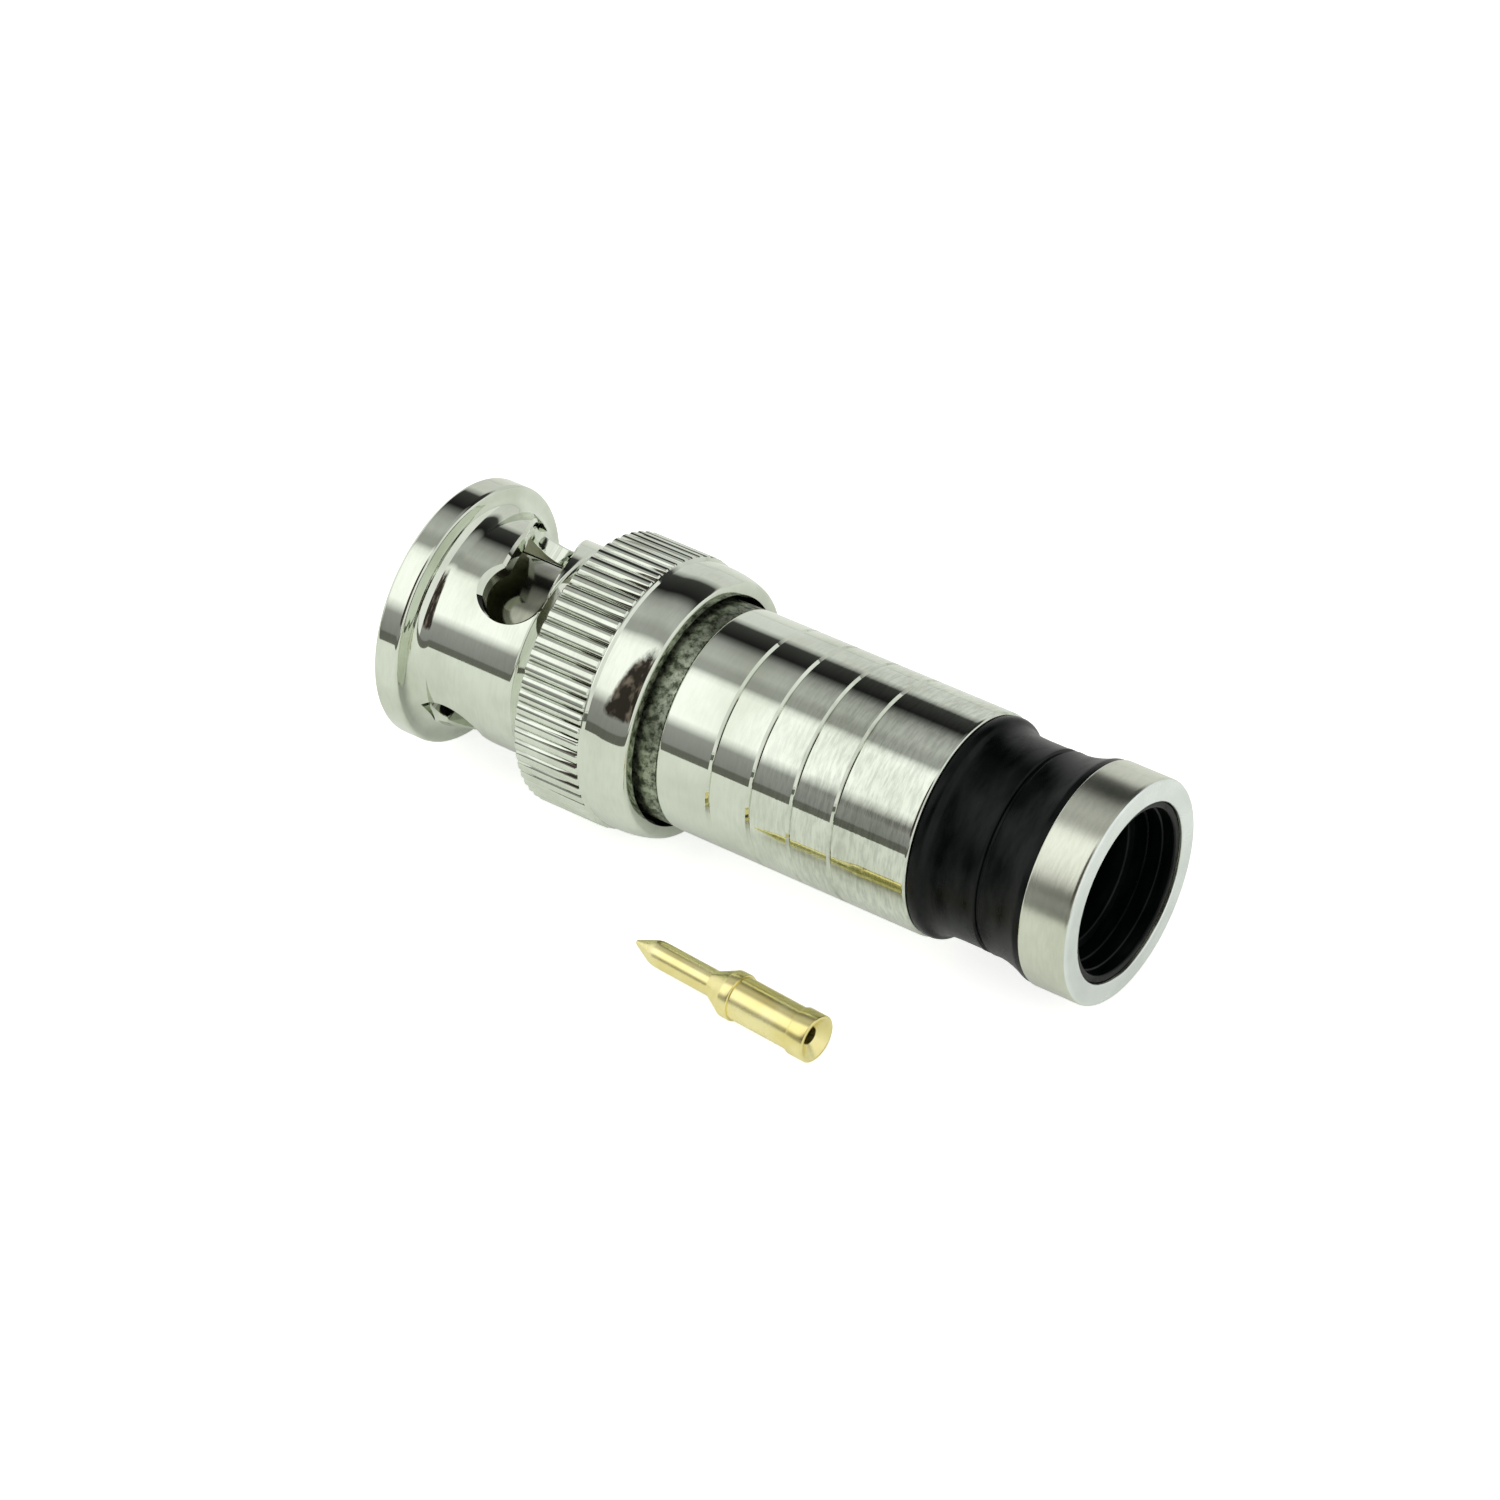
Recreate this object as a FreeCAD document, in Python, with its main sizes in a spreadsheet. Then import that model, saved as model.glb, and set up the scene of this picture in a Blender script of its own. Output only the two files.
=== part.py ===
import FreeCAD, Part
import math
import os
import Sketcher

# A straight BNC cable plug of the compression kind, lying on its side, with its loose centre pin beside it.
# Lengths are in millimetres and angles in degrees. The plug's axis is X: x = 0 is the front face of the
# coupling nut, where the jack goes in, and the cable leaves towards +X. Angles round the axis start at +Y
# and turn towards +Z.

driving_sizes = {
    # coupling nut: outside
    "flange_height": 1.35,
    "flange_width": 1.5,
    "flange_edge": 0.15,
    "flange_root": 0.45,
    "neck_wall": 0.95,
    "neck_length": 6.45,
    "cone_length": 1.45,
    "knurl_length": 4.2,
    "knurl_step": 0.18,
    "knurl_depth": 0.17,
    "knurl_foot": 0.2,
    "knurl_stock": 0.02,
    "knurl_tooth_count": 62,
    "strip_length": 0.9,
    "collar_length": 1.6,
    "collar_fall": 0.32,
    "collar_wall": 0.7,
    "nut_edge": 0.15,
    # coupling nut: inside
    "jack_bore": 4.95,
    "jack_lead_in": 0.3,
    "web_thickness": 2.3,
    "cavity_depth": 2.85,
    "cavity_gap": 0.32,
    "running_clearance": 0.08,
    # bayonet slots: a ramp in two slopes from the entry over a knee to the crest, then the lock hole
    "entry_angle": 32,
    "entry_reach": 1.9,
    "knee_angle": 80,
    "knee_fall": 2.45,
    "crest_angle": 117,
    "crest_fall": 1.6,
    "lock_angle": 119,
    "lock_fall": 2.0,
    "lock_radius": 1.75,
    "ramp_width": 3.0,
    "stud_groove_depth": 0.6,
    "stud_groove_turn": 26,
    "slot_count": 2,
    # outer contact: the slotted front of the plug's body
    "contact_recess": 1.6,
    "jack_shell_gap": 0.9,
    "contact_wall": 0.45,
    "contact_edge": 0.15,
    "contact_slot_width": 0.5,
    "contact_slot_foot": 1.8,
    "contact_slot_count": 4,
    "contact_slot_turn": 57,
    "shoulder_width": 1.0,
    "shoulder_gap": 0.1,
    "journal_fall": 1.25,
    "post_wall": 1.2,
    # white insulator in the outer contact
    "insulator_reach": 0.4,
    "insulator_length": 3.8,
    "insulator_wall": 0.7,
    "insulator_funnel_depth": 1.2,
    "insulator_funnel_radius": 1.5,
    "pin_clearance": 0.04,
    # front gasket, wave washer and thrust washer
    "gasket_length": 0.95,
    "gasket_gap": 0.2,
    "seat_clearance": 0.02,
    "washer_gap": 0.17,
    "spring_room": 0.9,
    "spring_clearance": 0.03,
    "wave_thickness": 0.25,
    "wave_count": 3,
    "thrust_thickness": 0.4,
    "end_play": 0.05,
    # rear body, whose band shows behind the nut
    "band_length": 4.0,
    "band_step": 0.04,
    "contact_spigot": 0.2,
    "body_spigot": 3.7,
    "spigot_wall": 0.8,
    # barrel
    "barrel_length": 15.36,
    "barrel_radius": 6.12,
    "barrel_wall": 0.72,
    "barrel_edge": 0.15,
    "ring_groove_reach": 3.3,
    "ring_groove_pitch": 2.49,
    "ring_groove_count": 4,
    "ring_groove_depth": 0.1,
    # cable post
    "post_gap": 2.0,
    "post_reach": 0.34,
    "post_thickness": 0.55,
    "barb_height": 0.3,
    "barb_length": 1.1,
    # compression sleeve
    "sleeve_inside": 4.06,
    "sleeve_shown": 6.74,
    "sleeve_clearance": 0.05,
    "bead_fall": 0.1,
    "bead_width": 0.75,
    "waist_fall": 0.62,
    "waist_blend": 1.0,
    "flare_length": 2.24,
    "lip_fall": 0.06,
    "lip_width": 0.4,
    "liner_depth": 0.2,
    "liner_wall": 0.35,
    "liner_step": 2.3,
    "cable_wall": 1.75,
    "wedge_wall": 0.65,
    "wedge_length": 5.9,
    # end ring
    "ring_length": 2.8,
    "ring_wall": 1.22,
    "ring_edge": 0.2,
    # loose centre pin, along its own axis from the tip
    "pin_tip_radius": 0.14,
    "pin_point": 1.35,
    "pin_front_radius": 0.71,
    "pin_shaft_end": 5.2,
    "pin_cone_end": 6.35,
    "pin_collar_radius": 1.3,
    "pin_collar_end": 6.95,
    "pin_rear_radius": 1.18,
    "pin_rim_width": 1.1,
    "pin_length": 11.9,
    "pin_wire_radius": 0.48,
    "pin_wire_depth": 4.5,
    "pin_funnel_depth": 0.45,
    "pin_funnel_radius": 1.12,
    # where the pin lies, beside the plug
    "pin_tip_x": 19.68,
    "pin_tip_y": -11.07,
    "pin_turn": -5.1,
}

# Sizes that follow from the driving ones. Stations are counted along the axis from the nut's front face.
following_sizes = {
    "neck_radius": "jack_bore + neck_wall",
    "flange_radius": "neck_radius + flange_height",
    "neck_end": "flange_width + neck_length",
    "knurl_front": "neck_end + cone_length",
    "knurl_rear": "knurl_front + knurl_length",
    "strip_rear": "knurl_rear + strip_length",
    "nut_length": "strip_rear + collar_length",
    "barrel_bore": "barrel_radius - barrel_wall",
    "band_radius": "barrel_radius - band_step",
    "rear_cavity": "band_radius + cavity_gap",
    "collar_rear_radius": "rear_cavity + collar_wall",
    "strip_radius": "collar_rear_radius + collar_fall",
    "knurl_radius": "strip_radius + knurl_step",
    "knurl_foot_radius": "knurl_radius - knurl_foot",
    "knurl_floor_radius": "knurl_radius - knurl_depth",
    "knurl_half_turn": "180 / knurl_tooth_count",
    "knurl_half_pitch": "knurl_radius * sin(knurl_half_turn)",
    "knurl_rise": "knurl_radius * cos(knurl_half_turn) - knurl_floor_radius",
    "web_rear": "nut_length - cavity_depth",
    "web_front": "web_rear - web_thickness",
    "entry_station": "flange_width + entry_reach",
    "knee_station": "neck_end - knee_fall",
    "crest_station": "neck_end - crest_fall",
    "lock_station": "neck_end - lock_fall",
    "stud_groove_radius": "jack_bore + stud_groove_depth",
    "thrust_front": "web_front - end_play - thrust_thickness",
    "shoulder_rear": "thrust_front - spring_room",
    "shoulder_front": "shoulder_rear - shoulder_width",
    "gasket_front": "shoulder_front - gasket_length",
    "contact_slot_end": "shoulder_front - contact_slot_foot",
    "insulator_front": "shoulder_front - insulator_reach",
    "insulator_rear": "insulator_front + insulator_length",
    "contact_radius": "jack_bore - jack_shell_gap",
    "contact_bore": "contact_radius - contact_wall",
    "shoulder_radius": "jack_bore - shoulder_gap",
    "washer_radius": "jack_bore - washer_gap",
    "gasket_radius": "jack_bore - gasket_gap",
    "journal_radius": "jack_bore - journal_fall",
    "post_bore": "journal_radius - post_wall",
    "insulator_radius": "journal_radius - insulator_wall",
    "web_bore": "journal_radius + running_clearance",
    "band_front": "web_rear + end_play",
    "barrel_front": "band_front + band_length",
    "spigot_end": "barrel_front + contact_spigot",
    "body_spigot_end": "barrel_front + body_spigot",
    "body_bore": "barrel_bore - spigot_wall",
    "barrel_rear": "barrel_front + barrel_length",
    "post_front": "insulator_rear + post_gap",
    "post_end": "barrel_rear + post_reach",
    "post_inner": "post_bore - post_thickness",
    "sleeve_front": "barrel_rear - sleeve_inside",
    "sleeve_radius": "barrel_bore - sleeve_clearance",
    "bead_rear": "barrel_rear + bead_width",
    "bead_radius": "barrel_radius - bead_fall",
    "waist_radius": "barrel_radius - waist_fall",
    "lip_radius": "barrel_radius - lip_fall",
    "ring_front": "barrel_rear + sleeve_shown",
    "ring_rear": "ring_front + ring_length",
    "ring_bore": "barrel_radius - ring_wall",
    "lip_front": "ring_front - lip_width",
    "flare_front": "lip_front - flare_length",
    "liner_end": "ring_rear - liner_depth",
    "liner_radius": "ring_bore - sleeve_clearance",
    "cable_bore": "waist_radius - cable_wall",
    "wedge_rear": "sleeve_front + wedge_length",
    "pin_rim_front": "pin_length - pin_rim_width",
}

document = FreeCAD.newDocument("bnc_plug")
sheet = document.addObject("Spreadsheet::Sheet", "Sizes")
formulas = {alias: f"={formula}" for alias, formula in following_sizes.items()}
for row, (alias, entry) in enumerate({**driving_sizes, **formulas}.items(), start=1):
    sheet.set(f"A{row}", alias)
    sheet.set(f"B{row}", str(entry))
    sheet.setAlias(f"B{row}", alias)
document.recompute()


class Length:
    # A number that remembers the sheet expression it comes from, so that a sketch can be bound to it.
    def __init__(self, text, value):
        self.text = text
        self.value = value

    def __add__(self, other):
        other = as_length(other)
        return Length(f"({self.text} + {other.text})", self.value + other.value)

    def __radd__(self, other):
        return as_length(other) + self

    def __sub__(self, other):
        other = as_length(other)
        return Length(f"({self.text} - {other.text})", self.value - other.value)

    def __rsub__(self, other):
        return as_length(other) - self

    def __mul__(self, factor):
        factor = as_length(factor)
        return Length(f"({self.text} * {factor.text})", self.value * factor.value)

    def __truediv__(self, factor):
        factor = as_length(factor)
        return Length(f"({self.text} / {factor.text})", self.value / factor.value)


def as_length(number):
    return number if isinstance(number, Length) else Length(str(number), float(number))


class SheetReader:
    def __getattr__(self, alias):
        return Length(f"Sizes.{alias}", float(sheet.get(alias)))


size = SheetReader()
sub_parts = []


# Building blocks: bodies, bound profiles, turned solids, cuts and patterns

def new_body(name):
    body = document.addObject("PartDesign::Body", name)
    body.Label = name
    sub_parts.append(body)
    return body


def datum(body, role):
    return next(item for item in body.Origin.OriginFeatures if item.Role == role)


def bind(item, prop, length):
    item.setExpression(prop, as_length(length).text)


def bound_profile(body, name, corners, plane="XZ_Plane", tilt=None):
    # A closed outline through the corners, each held by its two distances from the origin. tilt turns the
    # sketch round the X axis.
    sketch = body.newObject("Sketcher::SketchObject", name)
    sketch.AttachmentSupport = (datum(body, plane), [""])
    sketch.MapMode = "FlatFace"
    if tilt is not None:
        turn_sketch(sketch, tilt)
    places = [(as_length(along), as_length(out)) for along, out in corners]
    points = [FreeCAD.Vector(along.value, out.value, 0) for along, out in places]
    for number, point in enumerate(points):
        sketch.addGeometry(Part.LineSegment(point, points[(number + 1) % len(points)]), False)
    for number in range(len(points)):
        sketch.addConstraint(Sketcher.Constraint("Coincident", number, 2, (number + 1) % len(points), 1))
    for number, (along, out) in enumerate(places):
        for kind, length in (("DistanceX", along), ("DistanceY", out)):
            index = sketch.addConstraint(Sketcher.Constraint(kind, -1, 1, number, 1, length.value))
            sketch.setExpression(f"Constraints[{index}]", length.text)
    return sketch


def turn_sketch(sketch, angle):
    # Turns the sketch round the X axis by an angle between 0 and 180 degrees.
    turn = FreeCAD.Rotation(FreeCAD.Vector(1, 0, 0), angle.value)
    sketch.AttachmentOffset = FreeCAD.Placement(FreeCAD.Vector(), turn)
    sketch.setExpression("AttachmentOffset.Rotation.Angle", angle.text)


def revolve(body, sketch):
    turned = body.newObject("PartDesign::Revolution", f"{body.Name}_turned")
    turned.Profile = sketch
    turned.ReferenceAxis = (sketch, ["H_Axis"])
    turned.Angle = 360
    document.recompute()
    return turned


def turned_body(name, corners):
    body = new_body(name)
    revolve(body, bound_profile(body, f"{name}_profile", corners))
    return body


def rim(body, along, out):
    # The name of the round edge at this station and radius.
    along, out = as_length(along).value, as_length(out).value
    for number, edge in enumerate(body.Tip.Shape.Edges, start=1):
        curve = edge.Curve
        if not isinstance(curve, Part.Circle):
            continue
        if abs(curve.Center.x - along) < 1e-4 and abs(curve.Radius - out) < 1e-4:
            return f"Edge{number}"
    raise ValueError(f"{body.Name} has no rim at {along:g}, {out:g}")


def ease_rims(body, kind, places, amount):
    # A fillet or chamfer round the rims at these stations and radii.
    base = body.Tip
    rims = [rim(body, *place) for place in places]
    eased = body.newObject(f"PartDesign::{kind}", f"{body.Name}_{kind.lower()}")
    eased.Base = (base, rims)
    bind(eased, "Radius" if kind == "Fillet" else "Size", amount)
    body.Tip = eased
    document.recompute()
    return eased


def cut(body, kind, name, sketch):
    feature = body.newObject(f"PartDesign::{kind}", name)
    feature.Profile = sketch
    return feature


def repeat(body, features, count, turn=360):
    pattern = body.newObject("PartDesign::PolarPattern", f"{features[0].Name}_round")
    pattern.Originals = features
    pattern.Axis = (datum(body, "X_Axis"), [""])
    pattern.Angle = turn
    bind(pattern, "Occurrences", count)
    body.Tip = pattern
    document.recompute()
    return pattern


# Coupling nut: flange, neck with the bayonet slots, knurled grip and rear collar

def build_coupling_nut():
    body = turned_body("coupling_nut", [
        (0, size.jack_bore + size.jack_lead_in),
        (0, size.flange_radius),
        (size.flange_width, size.flange_radius),
        (size.flange_width, size.neck_radius),
        (size.neck_end, size.neck_radius),
        (size.knurl_front, size.knurl_foot_radius),
        (size.knurl_front, size.knurl_radius + size.knurl_stock),
        (size.knurl_rear, size.knurl_radius + size.knurl_stock),
        (size.knurl_rear, size.strip_radius),
        (size.strip_rear, size.strip_radius),
        (size.nut_length, size.collar_rear_radius),
        (size.nut_length, size.rear_cavity),
        (size.web_rear, size.rear_cavity),
        (size.web_rear, size.web_bore),
        (size.web_front, size.web_bore),
        (size.web_front, size.jack_bore),
        (size.jack_lead_in, size.jack_bore),
    ])
    ease_rims(body, "Chamfer", [(size.flange_width, size.neck_radius)], size.flange_root)
    ease_rims(body, "Chamfer", [
        (0, size.flange_radius),
        (size.flange_width, size.flange_radius),
    ], size.flange_edge)
    ease_rims(body, "Chamfer", [(size.nut_length, size.collar_rear_radius)], size.nut_edge)
    cut_bayonet_slots(body)
    cut_knurl(body)


def cut_bayonet_slots(body):
    # Each slot starts as a groove inside the bore, climbs as a ramp through the wall and ends in the round
    # hole where the stud locks.
    groove = cut(body, "Groove", "stud_groove", bound_profile(body, "stud_groove_profile", [
        (0 - size.jack_lead_in, size.contact_radius),
        (0 - size.jack_lead_in, size.stud_groove_radius),
        (size.entry_station, size.stud_groove_radius),
        (size.entry_station, size.contact_radius),
    ], plane="XY_Plane", tilt=size.entry_angle))
    groove.ReferenceAxis = (groove.Profile[0], ["H_Axis"])
    groove.Midplane = True
    bind(groove, "Angle", size.stud_groove_turn)
    document.recompute()

    entry = (size.entry_angle, size.entry_station)
    knee = (size.knee_angle, size.knee_station)
    crest = (size.crest_angle, size.crest_station)
    runs = [ramp_run(body, "steep_ramp", entry, knee), ramp_run(body, "shallow_ramp", knee, crest)]
    half_width = size.ramp_width / 2
    holes = [
        radial_hole(body, "entry_end", size.entry_station, size.entry_angle, half_width),
        radial_hole(body, "lock_hole", size.lock_station, size.lock_angle, size.lock_radius),
    ]
    repeat(body, [groove] + runs + holes, size.slot_count)


def ramp_run(body, name, start, end):
    # A stretch of slot that climbs evenly round the axis, from one angle and station to another.
    half_width = size.ramp_width / 2
    (start_angle, start_station), (end_angle, end_station) = start, end
    ramp = cut(body, "SubtractiveHelix", name, bound_profile(body, f"{name}_profile", [
        (start_station - half_width, size.contact_radius),
        (start_station - half_width, size.flange_radius),
        (start_station + half_width, size.flange_radius),
        (start_station + half_width, size.contact_radius),
    ], plane="XY_Plane", tilt=start_angle))
    ramp.ReferenceAxis = (datum(body, "X_Axis"), [""])
    ramp.Mode = 0
    rise = end_station - start_station
    bind(ramp, "Pitch", rise * 360 / (end_angle - start_angle))
    bind(ramp, "Height", rise)
    document.recompute()
    return ramp


def radial_hole(body, name, station, angle, radius):
    sketch = body.newObject("Sketcher::SketchObject", f"{name}_circle")
    sketch.AttachmentSupport = (datum(body, "XZ_Plane"), [""])
    sketch.MapMode = "FlatFace"
    turn_sketch(sketch, angle)
    sketch.addGeometry(
        Part.Circle(FreeCAD.Vector(station.value, 0, 0), FreeCAD.Vector(0, 0, 1), radius.value), False
    )
    sketch.addConstraint(Sketcher.Constraint("PointOnObject", 0, 3, -1))
    for kind, length, ends in (("DistanceX", station, (-1, 1, 0, 3)), ("Radius", radius, (0,))):
        index = sketch.addConstraint(Sketcher.Constraint(kind, *ends, length.value))
        sketch.setExpression(f"Constraints[{index}]", length.text)
    hole = cut(body, "Pocket", name, sketch)
    hole.Type = "Length"
    hole.Reversed = True
    bind(hole, "Length", size.flange_radius)
    document.recompute()
    return hole


def cut_knurl(body):
    # One V groove along the axis, as wide as a tooth and drawn on a little past the ridges beside it,
    # repeated round the axis. A ridge faces straight down, where the plug rests.
    sketch = body.newObject("Sketcher::SketchObject", "knurl_vee")
    sketch.AttachmentSupport = (datum(body, "YZ_Plane"), [""])
    sketch.MapMode = "FlatFace"
    half_turn = size.knurl_half_turn
    sketch.AttachmentOffset = FreeCAD.Placement(
        FreeCAD.Vector(0, 0, size.neck_end.value), FreeCAD.Rotation(FreeCAD.Vector(0, 0, 1), half_turn.value)
    )
    sketch.setExpression("AttachmentOffset.Base.z", size.neck_end.text)
    sketch.setExpression("AttachmentOffset.Rotation.Angle", half_turn.text)
    past_ridge = 1.3
    half = size.knurl_half_pitch * past_ridge
    top = size.knurl_floor_radius + size.knurl_rise * past_ridge
    corners = [
        (0 - half, top),
        (as_length(0), size.knurl_floor_radius),
        (half, top),
    ]
    points = [FreeCAD.Vector(across.value, out.value, 0) for across, out in corners]
    for number, point in enumerate(points):
        sketch.addGeometry(Part.LineSegment(point, points[(number + 1) % 3]), False)
    for number in range(3):
        sketch.addConstraint(Sketcher.Constraint("Coincident", number, 2, (number + 1) % 3, 1))
    for number, (across, out) in enumerate(corners):
        for kind, length in (("DistanceX", across), ("DistanceY", out)):
            index = sketch.addConstraint(Sketcher.Constraint(kind, -1, 1, number, 1, length.value))
            sketch.setExpression(f"Constraints[{index}]", length.text)
    vee = cut(body, "Pocket", "knurl_groove", sketch)
    vee.Type = "Length"
    vee.Reversed = True
    bind(vee, "Length", size.knurl_rear - size.neck_end)
    document.recompute()
    repeat(body, [vee], size.knurl_tooth_count)


# Outer contact: four spring fingers, shoulder, journal for the nut and spigot for the rear body

def build_outer_contact():
    body = turned_body("outer_contact", [
        (size.contact_recess, size.contact_bore),
        (size.contact_recess, size.contact_radius),
        (size.shoulder_front, size.contact_radius),
        (size.shoulder_front, size.shoulder_radius),
        (size.shoulder_rear, size.shoulder_radius),
        (size.shoulder_rear, size.journal_radius),
        (size.spigot_end, size.journal_radius),
        (size.spigot_end, size.post_bore),
        (size.insulator_rear, size.post_bore),
        (size.insulator_rear, size.insulator_radius),
        (size.insulator_front, size.insulator_radius),
        (size.insulator_front, size.contact_bore),
    ])
    ease_rims(body, "Chamfer", [(size.contact_recess, size.contact_radius)], size.contact_edge)
    half = size.contact_slot_width / 2
    slot = cut(body, "Pocket", "finger_slot", bound_profile(body, "finger_slot_profile", [
        (0 - half, 0 - half),
        (size.contact_slot_end, 0 - half),
        (size.contact_slot_end, half),
        (0 - half, half),
    ], plane="XY_Plane", tilt=size.contact_slot_turn))
    slot.Type = "Length"
    slot.Reversed = True
    bind(slot, "Length", size.shoulder_radius)
    document.recompute()
    repeat(body, [slot], size.contact_slot_count)


# Pieces inside the nut

def build_contact_insulator():
    pin_hole = size.pin_front_radius + size.pin_clearance
    turned_body("contact_insulator", [
        (size.insulator_front, pin_hole),
        (size.insulator_front, size.insulator_radius),
        (size.insulator_rear, size.insulator_radius),
        (size.insulator_rear, size.insulator_funnel_radius),
        (size.insulator_rear - size.insulator_funnel_depth, pin_hole),
    ])


def build_front_gasket():
    inner = size.contact_radius + size.seat_clearance
    turned_body("front_gasket", [
        (size.gasket_front, inner),
        (size.gasket_front, size.gasket_radius),
        (size.shoulder_front, size.gasket_radius),
        (size.shoulder_front, inner),
    ])


def build_thrust_washer():
    rear = size.thrust_front + size.thrust_thickness
    turned_body("thrust_washer", [
        (size.thrust_front, size.web_bore),
        (size.thrust_front, size.washer_radius),
        (rear, size.washer_radius),
        (rear, size.web_bore),
    ])


def build_wave_washer():
    # A spring washer bent into waves: two wavy rims, joined by ruled faces.
    inner = size.web_bore.value
    outer = size.washer_radius.value
    thickness = size.wave_thickness.value
    swing = (size.spring_room.value - thickness) / 2 - size.spring_clearance.value
    middle = (size.shoulder_rear.value + size.thrust_front.value - thickness) / 2
    steps = 8 * round(size.wave_count.value)

    def wavy_rim(radius, lift):
        points = []
        for step in range(steps):
            angle = 2 * math.pi * step / steps
            along = middle + lift + swing * math.cos(size.wave_count.value * angle)
            points.append(FreeCAD.Vector(along, radius * math.cos(angle), radius * math.sin(angle)))
        curve = Part.BSplineCurve()
        curve.interpolate(points, PeriodicFlag=True)
        return curve.toShape()

    rims = [wavy_rim(inner, 0), wavy_rim(outer, 0), wavy_rim(outer, thickness), wavy_rim(inner, thickness)]
    faces = [Part.makeRuledSurface(rims[number], rims[(number + 1) % 4]) for number in range(4)]
    solid = Part.makeSolid(Part.makeShell([face for surface in faces for face in surface.Faces]))
    if solid.Volume < 0:
        solid.reverse()
    washer = document.addObject("Part::Feature", "wave_washer")
    washer.Label = "wave_washer"
    washer.Shape = solid
    sub_parts.append(washer)


# Rear body: the band behind the nut, with a spigot pressed into the barrel

def build_rear_body():
    turned_body("rear_body", [
        (size.band_front, size.journal_radius),
        (size.band_front, size.band_radius),
        (size.barrel_front, size.band_radius),
        (size.barrel_front, size.barrel_bore),
        (size.body_spigot_end, size.barrel_bore),
        (size.body_spigot_end, size.body_bore),
        (size.spigot_end, size.body_bore),
        (size.spigot_end, size.journal_radius),
    ])


# Barrel: a plain tube with four shallow ring grooves

def build_barrel():
    body = turned_body("barrel", [
        (size.barrel_front, size.barrel_bore),
        (size.barrel_front, size.barrel_radius),
        (size.barrel_rear, size.barrel_radius),
        (size.barrel_rear, size.barrel_bore),
    ])
    ease_rims(body, "Chamfer", [
        (size.barrel_front, size.barrel_radius),
        (size.barrel_rear, size.barrel_radius),
    ], size.barrel_edge)
    depth = size.ring_groove_depth
    for number in range(round(size.ring_groove_count.value)):
        centre = size.barrel_front + size.ring_groove_reach + size.ring_groove_pitch * number
        sketch = bound_profile(body, f"ring_groove_profile_{number + 1}", [
            (centre - depth * 2, size.barrel_radius + depth),
            (centre, size.barrel_radius - depth),
            (centre + depth * 2, size.barrel_radius + depth),
        ])
        groove = cut(body, "Groove", f"ring_groove_{number + 1}", sketch)
        groove.ReferenceAxis = (sketch, ["H_Axis"])
        groove.Angle = 360
        document.recompute()


# Cable post: a thin tube, with a barb at its end that goes under the cable's braid

def build_cable_post():
    barb_foot = size.post_end - size.barb_length
    turned_body("cable_post", [
        (size.post_front, size.post_bore),
        (barb_foot, size.post_bore),
        (barb_foot, size.post_bore + size.barb_height),
        (size.post_end, size.post_bore),
        (size.post_end, size.post_inner),
        (size.post_front, size.post_inner),
    ])


# Compression sleeve: the black plastic that shows between barrel and end ring and lines the ring

def build_compression_sleeve():
    # The waist rises to the bead and to the flare in straight runs close to the real one's curves.
    liner_bore = size.liner_radius - size.liner_wall
    liner_seat = size.liner_end - size.liner_step
    turned_body("compression_sleeve", [
        (size.sleeve_front, size.sleeve_radius - size.wedge_wall),
        (size.sleeve_front, size.sleeve_radius),
        (size.barrel_rear, size.sleeve_radius),
        (size.barrel_rear, size.bead_radius),
        (size.bead_rear, size.bead_radius),
        (size.bead_rear + size.waist_blend, size.waist_radius),
        (size.flare_front, size.waist_radius),
        (size.lip_front, size.lip_radius),
        (size.ring_front, size.lip_radius),
        (size.ring_front, size.liner_radius),
        (size.liner_end, size.liner_radius),
        (size.liner_end, liner_bore),
        (liner_seat, liner_bore),
        (liner_seat, size.cable_bore),
        (size.wedge_rear, size.cable_bore),
    ])


# End ring: the plain nickel ring that a tool drives towards the barrel

def build_end_ring():
    body = turned_body("end_ring", [
        (size.ring_front, size.ring_bore),
        (size.ring_front, size.barrel_radius),
        (size.ring_rear, size.barrel_radius),
        (size.ring_rear, size.ring_bore),
    ])
    ease_rims(body, "Chamfer", [(size.ring_rear, size.barrel_radius)], size.ring_edge)


# Loose centre pin: pointed front, collar, and a funnel that guides the wire into its hole

def build_centre_pin():
    body = turned_body("centre_pin", [
        (0, 0),
        (0, size.pin_tip_radius),
        (size.pin_point, size.pin_front_radius),
        (size.pin_shaft_end, size.pin_front_radius),
        (size.pin_cone_end, size.pin_collar_radius),
        (size.pin_collar_end, size.pin_collar_radius),
        (size.pin_collar_end, size.pin_rear_radius),
        (size.pin_rim_front, size.pin_rear_radius),
        (size.pin_rim_front, size.pin_collar_radius),
        (size.pin_length, size.pin_collar_radius),
        (size.pin_length, size.pin_funnel_radius),
        (size.pin_length - size.pin_funnel_depth, size.pin_wire_radius),
        (size.pin_length - size.pin_wire_depth, size.pin_wire_radius),
        (size.pin_length - size.pin_wire_depth, 0),
    ])
    body.Placement = FreeCAD.Placement(
        FreeCAD.Vector(), FreeCAD.Rotation(FreeCAD.Vector(0, 0, 1), size.pin_turn.value)
    )
    for prop, length in (
        ("Placement.Base.x", size.pin_tip_x),
        ("Placement.Base.y", size.pin_tip_y),
        ("Placement.Base.z", size.pin_collar_radius - size.knurl_radius),
        ("Placement.Rotation.Angle", size.pin_turn),
    ):
        bind(body, prop, length)
    document.recompute()


build_coupling_nut()
build_outer_contact()
build_contact_insulator()
build_front_gasket()
build_wave_washer()
build_thrust_washer()
build_rear_body()
build_barrel()
build_cable_post()
build_compression_sleeve()
build_end_ring()
build_centre_pin()
document.recompute()

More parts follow.
